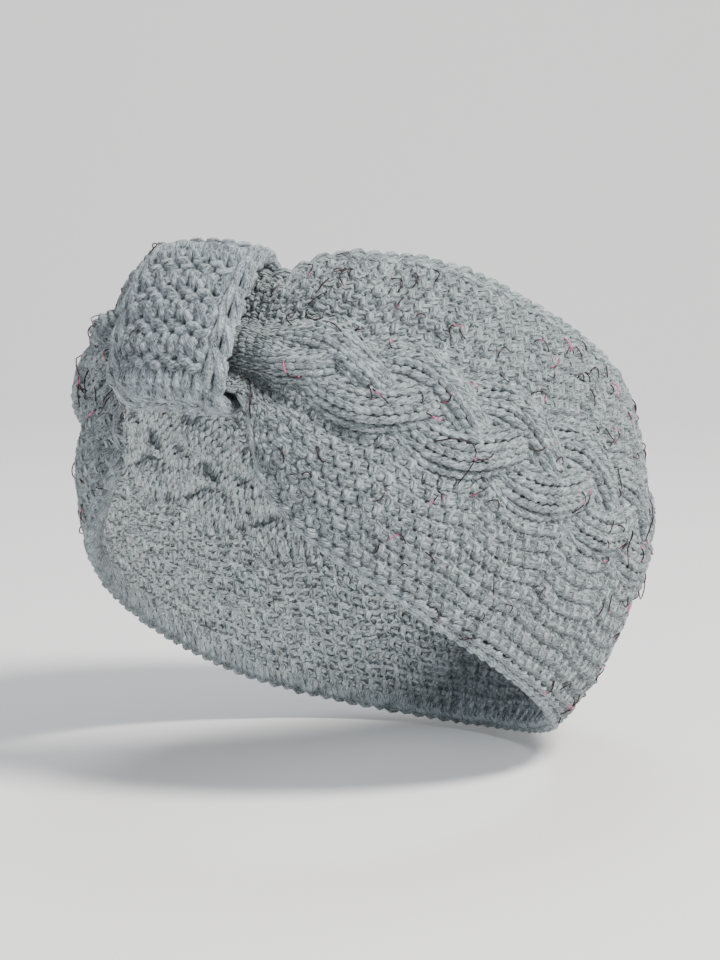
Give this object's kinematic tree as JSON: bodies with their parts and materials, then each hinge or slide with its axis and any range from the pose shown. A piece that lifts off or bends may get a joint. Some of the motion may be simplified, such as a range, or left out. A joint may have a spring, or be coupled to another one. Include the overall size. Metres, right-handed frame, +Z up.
{
  "type": "ear warmer headband",
  "caption": "Wide knitted ear warmer headband with a plait along its middle, gathered at the front by a knitted keeper loop.",
  "frame": {"origin": "middle of the hollow that the head fills, at the height of the middle of the plait", "axes": "+Z up as worn on a level head, -Y the way the wearer faces, +X towards the wearer's left"},
  "size_m": [0.173, 0.1964, 0.164],
  "materials": {
    "band_yarn": "soft matt knitted yarn with a thin metallic filament",
    "keeper_yarn": "soft matt knitted yarn in garter stitch"
  },
  "bodies": {
    "root": {"band": "band_yarn", "keeper": "keeper_yarn"}
  },
  "joints": []
}
